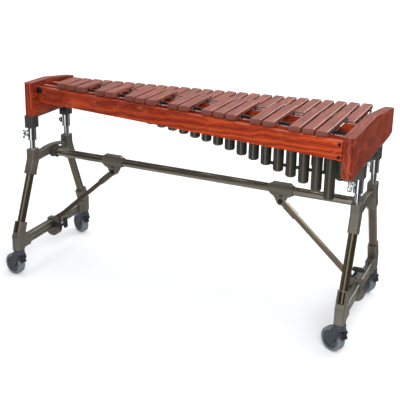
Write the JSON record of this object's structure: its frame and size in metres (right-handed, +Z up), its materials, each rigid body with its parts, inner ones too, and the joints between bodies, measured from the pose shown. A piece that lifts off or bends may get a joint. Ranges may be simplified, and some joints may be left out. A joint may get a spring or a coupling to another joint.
{
  "type": "xylophone",
  "caption": "Concert xylophone: two tapering rows of rosewood bars over tube resonators in a wooden frame, on a height-adjustable braced stand with swivel casters.",
  "frame": {"origin": "on the floor, midway between the two end frames and midway between their legs", "axes": "+X along the keyboard towards the low notes, +Y towards the player's side, +Z up"},
  "size_m": [1.4443, 0.64, 0.791],
  "materials": {
    "mahogany": "clear gloss lacquer over orange-red mahogany",
    "rosewood": "satin oiled rosewood",
    "felt": "matt dark red felt",
    "post_rubber": "matt black",
    "cord": "matt black braided cord",
    "spring_steel": "bright",
    "resonator_metal": "satin dark olive grey",
    "black_steel": "satin black",
    "frame_metal": "satin warm grey-bronze",
    "tube_metal": "satin warm aluminium",
    "dark_metal": "satin charcoal",
    "chrome": "mirror bright",
    "black_plastic": "satin black",
    "caster_metal": "satin dark grey",
    "wheel_plastic": "satin blue-grey",
    "tyre": "matt light blue-grey non-marking rubber"
  },
  "bodies": {
    "stand": {"height_rods": "chrome", "upper_castings": "frame_metal", "arches": "frame_metal", "leg_tubes": "frame_metal", "lower_castings": "frame_metal", "cross_rails": "frame_metal", "main_tube": "tube_metal", "tube_fittings": "dark_metal", "brace_collars": "frame_metal", "brace_pivot_bolts": "black_steel", "brace_clamps": "frame_metal"},
    "keyboard": {"low_end_block": "mahogany", "high_end_block": "mahogany", "front_rail": "mahogany", "sharp_outer_rail": "mahogany", "sharp_inner_rail": "mahogany", "natural_inner_rail": "mahogany", "natural_outer_rail": "mahogany", "rail_fixings": "black_steel", "felt_strips": "felt", "cord_posts": "post_rubber", "natural_bars": "rosewood", "sharp_bars": "rosewood", "bar_cords": "cord", "cord_springs": "spring_steel", "sharp_resonators": "resonator_metal", "natural_resonators": "resonator_metal", "resonator_strips": "resonator_metal", "resonator_spacers": "post_rubber", "block_strips": "frame_metal", "sockets": "dark_metal", "socket_caps": "black_plastic", "height_clamps": "chrome", "clamp_ring": "black_steel"},
    "low_near_clamp_wing": {"low_near_clamp_wing": "chrome"},
    "low_far_clamp_wing": {"low_far_clamp_wing": "chrome"},
    "high_near_clamp_wing": {"high_near_clamp_wing": "chrome"},
    "high_far_clamp_wing": {"high_far_clamp_wing": "chrome"},
    "low_tube_wing": {"low_tube_wing": "chrome"},
    "high_tube_wing": {"high_tube_wing": "chrome"},
    "low_brace": {"low_brace": "frame_metal"},
    "high_brace": {"high_brace": "frame_metal"},
    "low_brace_lever": {"low_brace_lever": "black_plastic"},
    "high_brace_lever": {"high_brace_lever": "black_plastic"},
    "low_near_fork": {"low_near_fork": "caster_metal"},
    "low_near_wheel": {"low_near_wheel": "wheel_plastic", "low_near_tyre": "tyre"},
    "low_near_pedal": {"low_near_pedal": "black_plastic"},
    "low_far_fork": {"low_far_fork": "caster_metal"},
    "low_far_wheel": {"low_far_wheel": "wheel_plastic", "low_far_tyre": "tyre"},
    "low_far_pedal": {"low_far_pedal": "black_plastic"},
    "high_near_fork": {"high_near_fork": "caster_metal"},
    "high_near_wheel": {"high_near_wheel": "wheel_plastic", "high_near_tyre": "tyre"},
    "high_near_pedal": {"high_near_pedal": "black_plastic"},
    "high_far_fork": {"high_far_fork": "caster_metal"},
    "high_far_wheel": {"high_far_wheel": "wheel_plastic", "high_far_tyre": "tyre"},
    "high_far_pedal": {"high_far_pedal": "black_plastic"}
  },
  "joints": [
    {"name": "keyboard_height", "type": "slide", "parent": "stand", "child": "keyboard", "axis": [0, 0, 1], "range_m": [0, 0.13]},
    {"name": "low_near_clamp_wing_turn", "type": "hinge", "parent": "keyboard", "child": "low_near_clamp_wing", "pos_m": [0.647, -0.131, 0.575], "axis": [0, 1, 0], "continuous": true},
    {"name": "low_far_clamp_wing_turn", "type": "hinge", "parent": "keyboard", "child": "low_far_clamp_wing", "pos_m": [0.647, 0.131, 0.575], "axis": [0, 1, 0], "continuous": true},
    {"name": "high_near_clamp_wing_turn", "type": "hinge", "parent": "keyboard", "child": "high_near_clamp_wing", "pos_m": [-0.695, -0.131, 0.575], "axis": [0, 1, 0], "continuous": true},
    {"name": "high_far_clamp_wing_turn", "type": "hinge", "parent": "keyboard", "child": "high_far_clamp_wing", "pos_m": [-0.695, 0.131, 0.575], "axis": [0, 1, 0], "continuous": true},
    {"name": "low_tube_wing_turn", "type": "hinge", "parent": "stand", "child": "low_tube_wing", "pos_m": [0.644, -0.03, 0.48], "axis": [0, 0, 1], "continuous": true},
    {"name": "high_tube_wing_turn", "type": "hinge", "parent": "stand", "child": "high_tube_wing", "pos_m": [-0.644, 0.03, 0.48], "axis": [0, 0, 1], "continuous": true},
    {"name": "low_brace_fold", "type": "hinge", "parent": "stand", "child": "low_brace", "pos_m": [0.361, 0, 0.425], "axis": [0, 1, 0], "range_deg": [0, 108]},
    {"name": "high_brace_fold", "type": "hinge", "parent": "stand", "child": "high_brace", "pos_m": [-0.361, 0, 0.425], "axis": [0, -1, 0], "range_deg": [0, 108]},
    {"name": "low_brace_lever_turn", "type": "hinge", "parent": "stand", "child": "low_brace_lever", "pos_m": [0.65, 0, 0.141], "axis": [0, -1, 0], "range_deg": [0, 85]},
    {"name": "high_brace_lever_turn", "type": "hinge", "parent": "stand", "child": "high_brace_lever", "pos_m": [-0.65, 0, 0.141], "axis": [0, -1, 0], "range_deg": [0, 85]},
    {"name": "low_near_swivel", "type": "hinge", "parent": "stand", "child": "low_near_fork", "pos_m": [0.671, -0.243, 0.1], "axis": [0, 0, 1], "continuous": true},
    {"name": "low_near_wheel_spin", "type": "hinge", "parent": "low_near_fork", "child": "low_near_wheel", "pos_m": [0.64783, -0.2312, 0.044], "axis": [0.454, 0.891, 0], "continuous": true},
    {"name": "low_near_pedal_press", "type": "hinge", "parent": "low_near_fork", "child": "low_near_pedal", "pos_m": [0.68615, -0.25072, 0.08], "axis": [0.454, 0.891, 0], "range_deg": [0, 15]},
    {"name": "low_far_swivel", "type": "hinge", "parent": "stand", "child": "low_far_fork", "pos_m": [0.671, 0.243, 0.1], "axis": [0, 0, 1], "continuous": true},
    {"name": "low_far_wheel_spin", "type": "hinge", "parent": "low_far_fork", "child": "low_far_wheel", "pos_m": [0.64657, 0.25189, 0.044], "axis": [0.342, 0.9397, 0], "continuous": true},
    {"name": "low_far_pedal_press", "type": "hinge", "parent": "low_far_fork", "child": "low_far_pedal", "pos_m": [0.68698, 0.23719, 0.08], "axis": [0.342, 0.9397, 0], "range_deg": [0, 15]},
    {"name": "high_near_swivel", "type": "hinge", "parent": "stand", "child": "high_near_fork", "pos_m": [-0.671, -0.243, 0.1], "axis": [0, 0, 1], "continuous": true},
    {"name": "high_near_wheel_spin", "type": "hinge", "parent": "high_near_fork", "child": "high_near_wheel", "pos_m": [-0.69643, -0.23759, 0.044], "axis": [0.2079, 0.9781, 0], "continuous": true},
    {"name": "high_near_pedal_press", "type": "hinge", "parent": "high_near_fork", "child": "high_near_pedal", "pos_m": [-0.65437, -0.24653, 0.08], "axis": [0.2079, 0.9781, 0], "range_deg": [0, 15]},
    {"name": "high_far_swivel", "type": "hinge", "parent": "stand", "child": "high_far_fork", "pos_m": [-0.671, 0.243, 0.1], "axis": [0, 0, 1], "continuous": true},
    {"name": "high_far_wheel_spin", "type": "hinge", "parent": "high_far_fork", "child": "high_far_wheel", "pos_m": [-0.69437, 0.2544, 0.044], "axis": [0.4384, 0.8988, 0], "continuous": true},
    {"name": "high_far_pedal_press", "type": "hinge", "parent": "high_far_fork", "child": "high_far_pedal", "pos_m": [-0.65572, 0.23555, 0.08], "axis": [0.4384, 0.8988, 0], "range_deg": [0, 15]}
  ]
}
